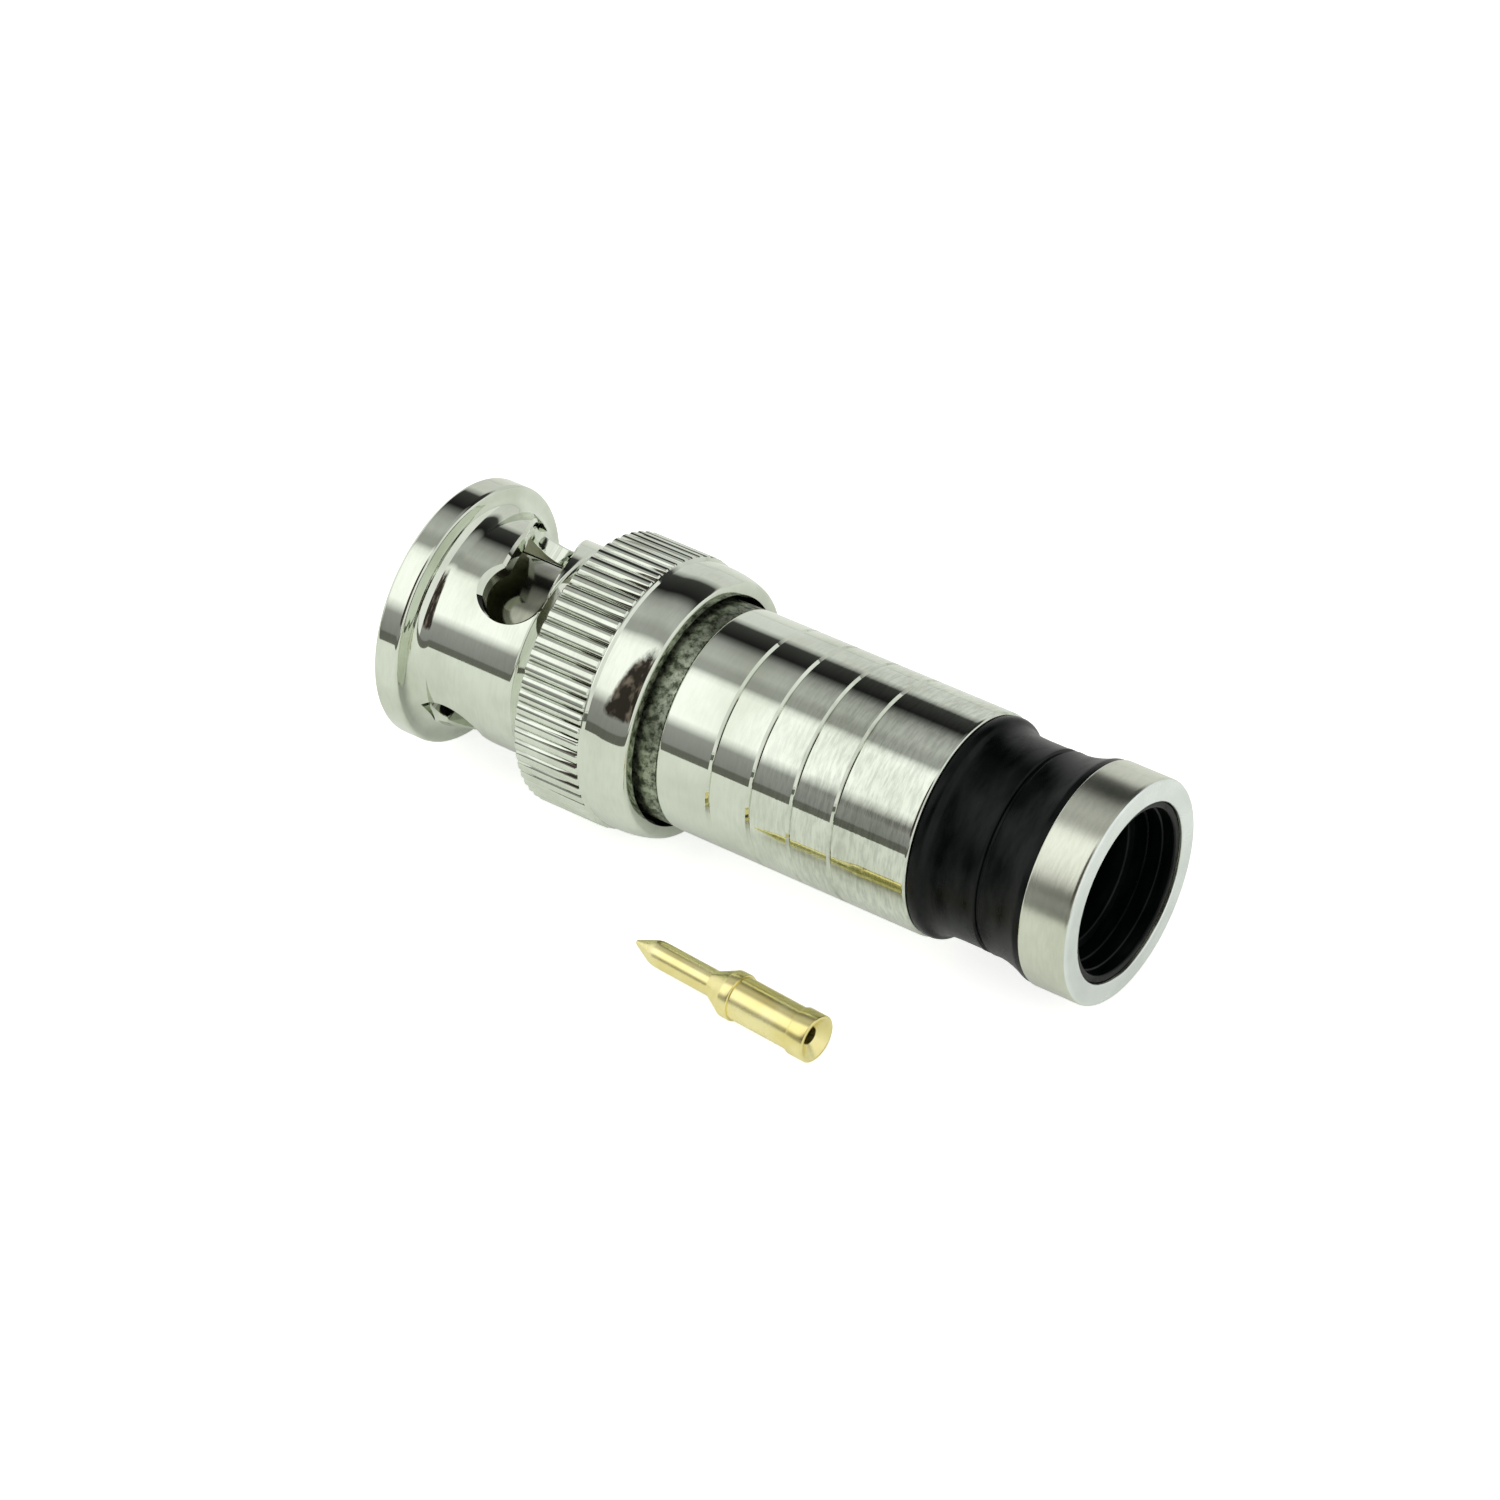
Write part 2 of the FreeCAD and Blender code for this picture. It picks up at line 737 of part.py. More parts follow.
faults = []
for item in document.Objects:
    if "Invalid" in item.State or "Error" in item.State:
        faults.append(f"{item.Name}: {item.State}")
for item in sub_parts:
    if item.Shape.isNull() or not item.Shape.isValid() or len(item.Shape.Solids) != 1:
        faults.append(f"{item.Label}: shape is not one valid solid")
if faults:
    raise RuntimeError("; ".join(faults))

os.makedirs("parts", exist_ok=True)
for item in sub_parts:
    item.Shape.exportStep(f"parts/{item.Label}.step")
    box = item.Shape.BoundBox
    print(f"{item.Label}: {item.Shape.Volume:.2f} mm3, {box.XMin:.2f} to {box.XMax:.2f} along the axis")
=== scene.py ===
import math

import bmesh
import bpy
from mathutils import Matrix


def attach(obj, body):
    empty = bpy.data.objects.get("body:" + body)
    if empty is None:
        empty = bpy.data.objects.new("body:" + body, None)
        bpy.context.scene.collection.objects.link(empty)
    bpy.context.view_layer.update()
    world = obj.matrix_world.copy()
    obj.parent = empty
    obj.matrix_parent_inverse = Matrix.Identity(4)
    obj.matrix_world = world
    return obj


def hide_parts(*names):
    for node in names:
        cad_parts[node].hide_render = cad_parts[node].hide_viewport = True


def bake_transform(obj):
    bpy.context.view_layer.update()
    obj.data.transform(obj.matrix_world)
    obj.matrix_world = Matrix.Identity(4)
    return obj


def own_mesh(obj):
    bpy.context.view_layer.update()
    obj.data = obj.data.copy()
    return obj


# A BNC cable plug on its side, with its loose centre pin beside it.
# Pieces are shaped in millimetres round the X axis and brought to metres when they are finished.
# Angles round the axis start at +Y and turn towards +Z.

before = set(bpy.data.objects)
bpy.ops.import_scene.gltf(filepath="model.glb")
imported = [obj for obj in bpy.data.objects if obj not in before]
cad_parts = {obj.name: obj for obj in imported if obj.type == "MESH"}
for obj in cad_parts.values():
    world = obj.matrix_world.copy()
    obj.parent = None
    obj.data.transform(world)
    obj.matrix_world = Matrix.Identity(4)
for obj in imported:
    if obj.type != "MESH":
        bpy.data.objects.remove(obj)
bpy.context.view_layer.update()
turnSteps = 372     # columns in a turned surface: six for each of the nut's 62 teeth
roundSegments = 4   # faces across a rounded edge


# Modelling by hand, in code

def deselectAll():
    if bpy.context.object and bpy.context.object.mode != "OBJECT":
        bpy.ops.object.mode_set(mode="OBJECT")
    bpy.ops.object.select_all(action="DESELECT")


def startPoint(name):
    # A plane drawn together into the single point that the profile is drawn from.
    deselectAll()
    bpy.ops.mesh.primitive_plane_add(size=1)
    piece = bpy.context.object
    piece.name = name
    piece.data.name = name
    bpy.ops.object.mode_set(mode="EDIT")
    bpy.ops.mesh.select_all(action="SELECT")
    bpy.ops.mesh.merge(type="CENTER")
    return piece


def drawProfile(corners):
    # Draws the outline corner by corner, with the last corner selected at its end.
    last = (0, 0)
    for number, corner in enumerate(corners):
        step = (corner[0] - last[0], corner[1] - last[1], 0)
        if number == 0:
            bpy.ops.transform.translate(value=step)
        else:
            bpy.ops.mesh.extrude_region_move(TRANSFORM_OT_translate={"value": step})
        last = corner


def turnPiece(name, corners, steps=turnSteps, closed=True):
    # Turns an outline of stations and radii into a solid round the X axis.
    piece = startPoint(name)
    drawProfile(corners + corners[:1] if closed else corners)
    bpy.ops.mesh.select_all(action="SELECT")
    bpy.ops.mesh.remove_doubles(threshold=1e-4)
    bpy.ops.mesh.spin(steps=steps, angle=2 * math.pi, center=(0, 0, 0), axis=(1, 0, 0))
    bpy.ops.mesh.select_all(action="SELECT")
    bpy.ops.mesh.remove_doubles(threshold=1e-4)
    bpy.ops.mesh.normals_make_consistent(inside=False)
    return piece


def pick(piece, test, kind="verts"):
    # Selects the vertices, edges or faces that pass the test, and says how many there are.
    bpy.ops.mesh.select_all(action="DESELECT")
    mesh = bmesh.from_edit_mesh(piece.data)
    mesh.select_mode = {kind[:-1].upper()} if kind != "verts" else {"VERT"}
    chosen = [part for part in getattr(mesh, kind) if test(part)]
    for part in chosen:
        part.select_set(True)
    mesh.select_flush_mode()
    bmesh.update_edit_mesh(piece.data)
    return len(chosen)


def radiusOf(place):
    return math.hypot(place.y, place.z)


def angleOf(place):
    return math.degrees(math.atan2(place.z, place.y)) % 360


def roundRims(piece, rims, width, segments=roundSegments):
    # Rounds the circular edges at these stations and radii.
    def onRim(edge):
        return any(
            all(abs(v.co.x - x) < 1e-3 and abs(radiusOf(v.co) - r) < 1e-3 for v in edge.verts) for x, r in rims
        )
    if not pick(piece, onRim, "edges"):
        raise ValueError(f"{piece.name} has no rim at {rims}")
    bpy.ops.mesh.bevel(offset=width, segments=segments, affect="EDGES", profile=0.5)


def cutAway(piece, cutter, keep=False):
    deselectAll()
    bpy.context.view_layer.objects.active = piece
    piece.select_set(True)
    cut = piece.modifiers.new("cut", "BOOLEAN")
    cut.operation = "DIFFERENCE"
    cut.solver = "EXACT"
    cut.object = cutter
    bpy.ops.object.modifier_apply(modifier=cut.name)
    if not keep:
        bpy.data.objects.remove(cutter)


def finishPiece(piece, body, materials, replaces=(), smooth=30):
    # Smooth shading, metres, materials, and the piece's place in the frame.
    deselectAll()
    bpy.context.view_layer.objects.active = piece
    piece.select_set(True)
    piece.scale = (0.001, 0.001, 0.001)
    bpy.ops.object.transform_apply(location=True, rotation=True, scale=True)
    bpy.ops.object.shade_smooth_by_angle(angle=math.radians(smooth))
    piece.data.materials.clear()
    for material in materials:
        piece.data.materials.append(material)
    if body:
        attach(piece, body)
    if replaces:
        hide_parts(*replaces)
    deselectAll()
    return piece


def paintFaces(piece, test):
    # Gives the faces that pass the test the piece's second material.
    bpy.context.view_layer.objects.active = piece
    bpy.ops.object.mode_set(mode="EDIT")
    pick(piece, test, "faces")
    piece.active_material_index = 1
    bpy.ops.object.material_slot_assign()
    deselectAll()


# Materials

def linearColour(hexColour):
    channels = [int(hexColour[i:i + 2], 16) / 255 for i in (1, 3, 5)]
    return [c / 12.92 if c <= 0.04045 else ((c + 0.055) / 1.055) ** 2.4 for c in channels] + [1]


def addNode(tree, kind, values=None, links=None, **settings):
    node = tree.nodes.new(kind)
    for key, setting in settings.items():
        setattr(node, key, setting)
    for socket, value in (values or {}).items():
        node.inputs[socket].default_value = value
    for socket, source in (links or {}).items():
        tree.links.new(source, node.inputs[socket])
    return node


def newMaterial(name):
    material = bpy.data.materials.new(name)
    material.use_nodes = True
    tree = material.node_tree
    tree.nodes.clear()
    shader = addNode(tree, "ShaderNodeBsdfPrincipled")
    addNode(tree, "ShaderNodeOutputMaterial", links={"Surface": shader.outputs["BSDF"]})
    place = addNode(tree, "ShaderNodeTexCoord").outputs["Object"]
    return material, tree, shader, place


def rampNode(tree, source, stops):
    ramp = addNode(tree, "ShaderNodeValToRGB", links={"Fac": source})
    elements = ramp.color_ramp.elements
    for number, (position, colour) in enumerate(stops):
        element = elements[number] if number < len(elements) else elements.new(position)
        element.position = position
        element.color = colour
    return ramp


nickelLooks = {
    "colours": ("#CDD3C3", "#DCE2D4"),          # nickel is a pale grey that leans a little to green
    "ringColours": ("#CCD0BE", "#D6DACA"),
    # the end ring's flat face: paler, a painted highlight
    "faceColours": ("#DDE4E0", "#EAF0EC"),
    "contactColours": ("#6E7163", "#9A9C8C"),   # unpolished, and painted darker: painted shade for its place inside the nut
    "boreColours": ("#707359", "#8A8D70"),      # thin plating deep in a bore, and darker: painted shade
    # the knurled band's speckles: painted shade and painted glints
    "bandColours": ("#4B5241", "#B3BBA6"),
    "toolPitch": 0.00017,           # metres between the tool's rings, drawn coarser than real so that they show
    "chatter": 0.0009,              # length of the dashes that make up a ring
}


def turnedNickel(name, colours, roughness, marks, ridge, roughFrom=None, grooves=None):
    # Nickel plated on turned brass: mirror bright, with the tool's fine rings still showing through the plating.
    # The marks darken it and the ridge tips the reflections; both grow between the two stations of roughFrom.
    # Between the stations of grooves the metal darkens below a radius: painted shade in a knurl's hollows.
    material, tree, shader, place = newMaterial(name)
    stretch = addNode(tree, "ShaderNodeMapping", {"Scale": (1 / nickelLooks["toolPitch"], 1 / nickelLooks["chatter"],
                                                            1 / nickelLooks["chatter"])}, {"Vector": place})
    rings = addNode(tree, "ShaderNodeTexNoise", {"Scale": 1.0, "Detail": 3.0, "Roughness": 0.6},
                    {"Vector": stretch.outputs["Vector"]})
    clouds = addNode(tree, "ShaderNodeTexNoise", {"Scale": 260.0, "Detail": 3.0}, {"Vector": place})
    tone = rampNode(tree, clouds.outputs["Fac"], [(0.35, linearColour(colours[0])), (0.6, linearColour(colours[1]))])
    parts = addNode(tree, "ShaderNodeSeparateXYZ", {}, {"Vector": place})
    dash = addNode(tree, "ShaderNodeMapRange", {"From Min": 0.6, "From Max": 0.36, "To Max": marks}, {"Value": rings.outputs["Fac"]})
    dark = dash.outputs["Result"]
    height = rings.outputs["Fac"]
    if roughFrom:
        grown = addNode(tree, "ShaderNodeMapRange", {"From Min": roughFrom[0], "From Max": roughFrom[1], "To Min": 0.15},
                        {"Value": parts.outputs["X"]})
        dark = addNode(tree, "ShaderNodeMath", {}, {0: dark, 1: grown.outputs["Result"]}, operation="MULTIPLY").outputs["Value"]
        height = addNode(tree, "ShaderNodeMath", {}, {0: height, 1: grown.outputs["Result"]}, operation="MULTIPLY").outputs["Value"]
    if grooves:
        front, rear, low, high = grooves
        across = addNode(tree, "ShaderNodeCombineXYZ", {}, {"Y": parts.outputs["Y"], "Z": parts.outputs["Z"]})
        radius = addNode(tree, "ShaderNodeVectorMath", {}, {0: across.outputs["Vector"]}, operation="LENGTH")
        deep = addNode(tree, "ShaderNodeMapRange", {"From Min": high, "From Max": low, "To Max": 0.6}, {"Value": radius.outputs["Value"]})
        along = addNode(tree, "ShaderNodeMath", {1: (front + rear) / 2, 2: (rear - front) / 2}, {0: parts.outputs["X"]},
                        operation="COMPARE")
        # painted shade: the knurl's hollows are darkened in the base colour
        paintedGrooveShade = addNode(tree, "ShaderNodeMath", {}, {0: deep.outputs["Result"], 1: along.outputs["Value"]}, operation="MULTIPLY")
        dark = addNode(tree, "ShaderNodeMath", {}, {0: dark, 1: paintedGrooveShade.outputs["Value"]}, operation="MAXIMUM").outputs["Value"]
    light = addNode(tree, "ShaderNodeMath", {0: 1.0}, {1: dark}, operation="SUBTRACT")
    shaded = addNode(tree, "ShaderNodeMix", data_type="RGBA", blend_type="MULTIPLY")
    shaded.inputs[0].default_value = 1.0
    tree.links.new(tone.outputs["Color"], shaded.inputs[6])
    tree.links.new(light.outputs["Value"], shaded.inputs[7])
    rough = addNode(tree, "ShaderNodeMapRange", {"From Min": 0.3, "From Max": 0.7, "To Min": roughness[0], "To Max": roughness[1]},
                    {"Value": clouds.outputs["Fac"]})
    bump = addNode(tree, "ShaderNodeBump", {"Strength": 1.0, "Distance": ridge}, {"Height": height})
    tree.links.new(shaded.outputs[2], shader.inputs["Base Color"])
    tree.links.new(rough.outputs["Result"], shader.inputs["Roughness"])
    tree.links.new(bump.outputs["Normal"], shader.inputs["Normal"])
    shader.inputs["Metallic"].default_value = 1.0
    return material


def knurledNickel(name):
    # Nickel over a fine knurl, which no tool polishes: dull, and speckled at random with painted shade for the hollows
    # and painted glints for the points.
    material, tree, shader, place = newMaterial(name)
    specks = addNode(tree, "ShaderNodeTexNoise", {"Scale": 2200.0, "Detail": 4.0, "Roughness": 0.7}, {"Vector": place})
    low, high = nickelLooks["bandColours"]
    tone = rampNode(tree, specks.outputs["Fac"], [(0.4, linearColour(low)), (0.62, linearColour(high))])
    bump = addNode(tree, "ShaderNodeBump", {"Strength": 0.5, "Distance": 0.00004}, {"Height": specks.outputs["Fac"]})
    shader.inputs["Roughness"].default_value = 0.4
    shader.inputs["Metallic"].default_value = 1.0
    tree.links.new(tone.outputs["Color"], shader.inputs["Base Color"])
    tree.links.new(bump.outputs["Normal"], shader.inputs["Normal"])
    return material


def goldPlate(name):
    # Thin gold over nickel on a turned pin: pale yellow and bright.
    material, tree, shader, place = newMaterial(name)
    clouds = addNode(tree, "ShaderNodeTexNoise", {"Scale": 500.0, "Detail": 2.0}, {"Vector": place})
    tone = rampNode(tree, clouds.outputs["Fac"], [(0.35, linearColour("#EBDD92")), (0.65, linearColour("#F8EFB4"))])
    rough = addNode(tree, "ShaderNodeMapRange", {"From Min": 0.3, "From Max": 0.7, "To Min": 0.2, "To Max": 0.3},
                    {"Value": clouds.outputs["Fac"]})
    shader.inputs["Metallic"].default_value = 1.0
    tree.links.new(tone.outputs["Color"], shader.inputs["Base Color"])
    tree.links.new(rough.outputs["Result"], shader.inputs["Roughness"])
    return material


def blackPolymer(name):
    # Moulded acetal: near black, with soft rubbed patches drawn out round the axis that catch the light.
    material, tree, shader, place = newMaterial(name)
    skin = addNode(tree, "ShaderNodeTexNoise", {"Scale": 2500.0, "Detail": 3.0}, {"Vector": place})
    stretch = addNode(tree, "ShaderNodeMapping", {"Scale": (900, 260, 260)}, {"Vector": place})
    patches = addNode(tree, "ShaderNodeTexNoise", {"Scale": 1.0, "Detail": 4.0, "Roughness": 0.6}, {"Vector": stretch.outputs["Vector"]})
    tone = rampNode(tree, patches.outputs["Fac"], [(0.4, linearColour("#020504")), (0.7, linearColour("#060B09"))])
    rough = addNode(tree, "ShaderNodeMapRange", {"From Min": 0.35, "From Max": 0.65, "To Min": 0.24, "To Max": 0.4},
                    {"Value": patches.outputs["Fac"]})
    gloss = addNode(tree, "ShaderNodeMapRange", {"From Min": 0.35, "From Max": 0.65, "To Min": 0.12, "To Max": 0.36},
                    {"Value": patches.outputs["Fac"]})
    bump = addNode(tree, "ShaderNodeBump", {"Strength": 0.2, "Distance": 0.00002}, {"Height": skin.outputs["Fac"]})
    shader.inputs["IOR"].default_value = 1.36
    tree.links.new(tone.outputs["Color"], shader.inputs["Base Color"])
    tree.links.new(rough.outputs["Result"], shader.inputs["Roughness"])
    tree.links.new(gloss.outputs["Result"], shader.inputs["Specular IOR Level"])
    tree.links.new(bump.outputs["Normal"], shader.inputs["Normal"])
    return material


def plainMaterial(name, hexColour, roughness, metallic=0.0, grainScale=3000.0):
    # A small hidden piece's finish, with a little grain.
    material, tree, shader, place = newMaterial(name)
    grain = addNode(tree, "ShaderNodeTexNoise", {"Scale": grainScale, "Detail": 2.0}, {"Vector": place})
    bump = addNode(tree, "ShaderNodeBump", {"Strength": 0.15, "Distance": 0.00001}, {"Height": grain.outputs["Fac"]})
    shader.inputs["Base Color"].default_value = linearColour(hexColour)
    shader.inputs["Roughness"].default_value = roughness
    shader.inputs["Metallic"].default_value = metallic
    tree.links.new(bump.outputs["Normal"], shader.inputs["Normal"])
    return material


# the nut's knurl gets painted shade in its grooves
nutNickel = turnedNickel("nickel_plated_turned_brass", nickelLooks["colours"], (0.03, 0.06), 0.05, 0.0000004,
                         grooves=(0.00935, 0.01342, 0.00738, 0.00747))
barrelNickel = turnedNickel("nickel_plated_barrel_with_tool_rings", nickelLooks["colours"], (0.03, 0.06), 0.22, 0.0000022,
                            roughFrom=(0.021, 0.027))
ringNickel = turnedNickel("satin_nickel_plated_ring", nickelLooks["ringColours"], (0.18, 0.26), 0.06, 0.000002)
faceNickel = turnedNickel("nickel_plated_turned_face", nickelLooks["faceColours"], (0.2, 0.3), 0.04, 0.0000004)
# the contact's darker colour is painted shade
contactNickel = turnedNickel("nickel_plated_contact_painted_shade", nickelLooks["contactColours"], (0.1, 0.16), 0.1, 0.0000001)
# the bore's darker colour is painted shade
boreNickel = turnedNickel("thin_nickel_painted_shade_in_bore", nickelLooks["boreColours"], (0.35, 0.45), 0.1, 0.0000002)
bandNickel = knurledNickel("dull_nickel_fine_knurl")
pinGold = goldPlate("gold_plated_brass")
sleevePolymer = blackPolymer("moulded_black_acetal")
insulatorPolymer = plainMaterial("turned_white_ptfe", "#ECECE6", 0.45)
gasketRubber = plainMaterial("moulded_black_silicone", "#1B1B1B", 0.6)
springSteel = plainMaterial("rolled_spring_steel", "#A9A9A6", 0.28, metallic=1.0)
print("materials ready")


# Coupling nut

nutSizes = {
    "toothCount": 62,
    "toothDepth": 0.23,
    "toothShape": [1.0, 0.36, 0.1, 0.02, 0.0, 0.02, 0.1, 0.36],   # share of the depth, column by column
    "knurlRadius": 7.6,
    "flangeRound": 0.2,
    "flangeRoot": 0.85,
    "slotWidth": 3.0,
    "slotRim": 0.16,
    "lobe": (119, 5.95, 1.75),                          # angle, station and radius of the lock hole
    "ramp": [(32, 3.4), (80, 5.5), (100, 6.0), (117, 6.35)],   # angle and station along the slot's middle
}


def makeNut():
    crest = nutSizes["knurlRadius"]
    foot = crest - nutSizes["toothDepth"]
    columns = len(nutSizes["toothShape"])
    nut = turnPiece("coupling_nut_plated", [
        (0, 5.25), (0, 7.25), (0.25, 7.25), (1.25, 7.25), (1.5, 7.25), (1.5, 5.9), (2.42, 5.9), (7.74, 5.9), (7.95, 5.9),
        (8.15, 6.1), (9.4, foot), (9.4, crest - 0.07), (9.47, crest),
        (13.32, crest), (13.4, crest - 0.07), (13.42, 7.54), (13.49, 7.54), (13.63, 7.42), (14.3, 7.42), (14.65, 7.405),
        (15.0, 7.365), (15.35, 7.305), (15.7, 7.22), (16.1, 7.08), (16.1, 6.4), (13.25, 6.4), (13.25, 3.78),
        (10.95, 3.78), (10.95, 4.95), (0.3, 4.95),
    ], steps=nutSizes["toothCount"] * columns)
    roundRims(nut, [(1.5, 5.9)], nutSizes["flangeRoot"], 6)
    roundRims(nut, [(0, 7.25), (1.5, 7.25)], nutSizes["flangeRound"])
    roundRims(nut, [(7.95, 5.9)], 0.15, 2)
    roundRims(nut, [(16.1, 7.08)], 0.16)
    roundRims(nut, [(16.1, 6.4)], 0.06, 2)
    # knurl: between the ridges, each column drops towards the axis by its share of a tooth's depth
    column = 360 / nutSizes["toothCount"] / columns
    for phase, share in enumerate(nutSizes["toothShape"]):
        for radius in (crest, crest - 0.07):
            def onTooth(v):
                return (9.39 < v.co.x < 13.41 and abs(radiusOf(v.co) - radius) < 0.001
                        and round(angleOf(v.co) / column) % columns == phase)
            if share > 0 and pick(nut, onTooth):
                drop = max(radius - nutSizes["toothDepth"] * share, foot) / radius
                bpy.ops.transform.resize(value=(1, drop, drop), center_override=(0, 0, 0))
    bpy.ops.mesh.select_all(action="SELECT")
    bpy.ops.mesh.remove_doubles(threshold=1e-4)
    bpy.ops.object.mode_set(mode="OBJECT")
    for turn in (0, 180):
        cutAway(nut, slotCutter(turn))
        cutAway(nut, lobeCutter(turn))
        cutAway(nut, entryCutter(turn))
    # the cuts leave some points twice
    bpy.ops.object.mode_set(mode="EDIT")
    bpy.ops.mesh.select_all(action="SELECT")
    bpy.ops.mesh.remove_doubles(threshold=1e-3)
    bpy.ops.mesh.dissolve_degenerate(threshold=1e-3)
    bpy.ops.object.mode_set(mode="OBJECT")
    finishPiece(nut, "nut", [nutNickel, boreNickel], ["coupling_nut"])
    # the bore isn't polished, and its darker colour is painted shade
    paintFaces(nut, lambda face: radiusOf(face.calc_center_median()) < 0.00496)
    return nut


def slotCutter(turn):
    # The slot's section is drawn at the entry and carried round the axis in small steps along the ramp.
    half = nutSizes["slotWidth"] / 2
    rim = nutSizes["slotRim"]
    startAngle, startStation = nutSizes["ramp"][0]
    cutter = startPoint("slot_cutter")
    drawProfile([
        (startStation - half, 4.2), (startStation + half, 4.2), (startStation + half, 5.9 - rim),
        (startStation + half + rim + 0.1, 6.0), (startStation - half - rim - 0.1, 6.0), (startStation - half, 5.9 - rim),
    ])
    bpy.ops.mesh.select_all(action="SELECT")
    bpy.ops.mesh.edge_face_add()
    bpy.ops.transform.rotate(value=turnValue(startAngle + turn), orient_axis="X", center_override=(0, 0, 0))
    last = (startAngle, startStation)
    for angle, station in nutSizes["ramp"][1:]:
        steps = max(2, round((angle - last[0]) / 2))
        for _ in range(steps):
            bpy.ops.mesh.extrude_region_move(TRANSFORM_OT_translate={"value": ((station - last[1]) / steps, 0, 0)})
            bpy.ops.transform.rotate(value=turnValue((angle - last[0]) / steps), orient_axis="X",
                                     center_override=(0, 0, 0))
        last = (angle, station)
    bpy.ops.mesh.select_all(action="SELECT")
    bpy.ops.mesh.normals_make_consistent(inside=False)
    bpy.ops.object.mode_set(mode="OBJECT")
    return cutter


def turnValue(degrees):
    # With no window a turn goes the other way round.
    return -math.radians(degrees)


def lobeCutter(turn):
    # The round hole where the stud locks, with its rim opened a little.
    angle, station, radius = nutSizes["lobe"]
    return holeCutter("lobe_cutter", angle + turn, station, radius)


def entryCutter(turn):
    angle, station = nutSizes["ramp"][0]
    return holeCutter("entry_cutter", angle + turn, station, nutSizes["slotWidth"] / 2)


def holeCutter(name, angle, station, radius):
    rim = nutSizes["slotRim"]
    foot, top = 4.2, 6.0
    deselectAll()
    bpy.ops.mesh.primitive_cylinder_add(vertices=96, radius=radius, depth=top - foot, location=(station, 0, (top + foot) / 2))
    cutter = bpy.context.object
    cutter.name = name
    bpy.ops.object.transform_apply(location=True, rotation=False, scale=False)
    bpy.ops.object.mode_set(mode="EDIT")
    bpy.ops.mesh.select_all(action="SELECT")
    bpy.ops.mesh.bisect(plane_co=(0, 0, 5.9 - rim - 0.15), plane_no=(0, 0, 1))
    pick(cutter, lambda v: v.co.z > top - 0.01)
    bpy.ops.transform.resize(value=((radius + rim + 0.25) / radius, (radius + rim + 0.25) / radius, 1),
                             center_override=(station, 0, top))
    bpy.ops.mesh.select_all(action="SELECT")
    bpy.ops.transform.rotate(value=turnValue(angle - 90), orient_axis="X", center_override=(0, 0, 0))
    bpy.ops.object.mode_set(mode="OBJECT")
    return cutter


makeNut()
print("coupling nut ready")


# Outer contact, seen through the slots and from the front

def makeContact():
    contact = turnPiece("outer_contact_plated", [
        (1.6, 3.6), (1.6, 4.05), (8.6, 4.05), (8.6, 4.85), (9.6, 4.85), (9.6, 3.7),
        (17.5, 3.7), (17.5, 2.5), (12.0, 2.5), (12.0, 3.0), (8.2, 3.0), (8.2, 3.6),
    ], steps=128)
    roundRims(contact, [(1.6, 4.05)], 0.15, 3)
    bpy.ops.object.mode_set(mode="OBJECT")
    for across in ((12, 0.5, 12), (12, 12, 0.5)):
        deselectAll()
        bpy.ops.mesh.primitive_cube_add(size=1, location=(6.8 - 6, 0, 0), scale=(12, across[1], across[2]))
        bpy.ops.object.transform_apply(location=True, rotation=False, scale=True)
        bpy.context.object.rotation_euler = (math.radians(57), 0, 0)
        cutAway(contact, bpy.context.object)
    return finishPiece(contact, "plug_body", [contactNickel], ["outer_contact"])


makeContact()
print("outer contact ready")


# Band behind the nut

bandSizes = {"radius": 6.08, "toothCount": 124, "toothDepth": 0.06}


def makeBand():
    radius, count, depth = bandSizes["radius"], bandSizes["toothCount"], bandSizes["toothDepth"]
    band = turnPiece("rear_body_knurled", [
        (13.3, 3.7), (13.3, 6.0), (13.4, radius)] + [(14.9 + 0.24 * row, radius) for row in range(11)] + [
        (17.3, 5.4), (21.0, 5.4), (21.0, 4.6), (17.5, 4.6), (17.5, 3.7),
    ], steps=count * 2)
    column = 180 / count
    # every other column drops, and the next row of points turns that round, which leaves small diamonds
    for parity in (0, 1):
        def inHollow(v):
            row = round((v.co.x - 14.9) / 0.24)
            return (14.89 < v.co.x < 17.31 and radiusOf(v.co) > 6.0 and row % 2 == parity
                    and round(angleOf(v.co) / column) % 2 == parity)
        pick(band, inHollow)
        bpy.ops.transform.resize(value=(1, 1 - depth / radius, 1 - depth / radius), center_override=(0, 0, 0))
    bpy.ops.object.mode_set(mode="OBJECT")
    return finishPiece(band, "plug_body", [bandNickel], ["rear_body"], smooth=50)


makeBand()


# Barrel

barrelSizes = {"radius": 6.12, "front": 17.3, "rear": 32.66, "firstGroove": 20.6, "pitch": 2.49, "grooves": 4,
               "grooveHalf": 0.14, "grooveDepth": 0.13}


def makeBarrel():
    radius, half = barrelSizes["radius"], barrelSizes["grooveHalf"]
    outline = [(barrelSizes["front"], 5.4), (barrelSizes["front"], radius), (barrelSizes["front"] + 0.2, radius)]
    middles = [barrelSizes["firstGroove"] + barrelSizes["pitch"] * number for number in range(barrelSizes["grooves"])]
    for middle in middles:
        outline += [(middle - half, radius), (middle, radius - barrelSizes["grooveDepth"]), (middle + half, radius)]
    outline += [(barrelSizes["rear"] - 0.2, radius), (barrelSizes["rear"], radius), (barrelSizes["rear"], 5.4)]
    barrel = turnPiece("barrel_plated", outline, steps=256)
    roundRims(barrel, [(barrelSizes["front"], radius), (barrelSizes["rear"], radius)], 0.16)
    bpy.ops.object.mode_set(mode="OBJECT")
    return finishPiece(barrel, "plug_body", [barrelNickel], ["barrel"])


makeBarrel()
print("band and barrel ready")


# Compression sleeve

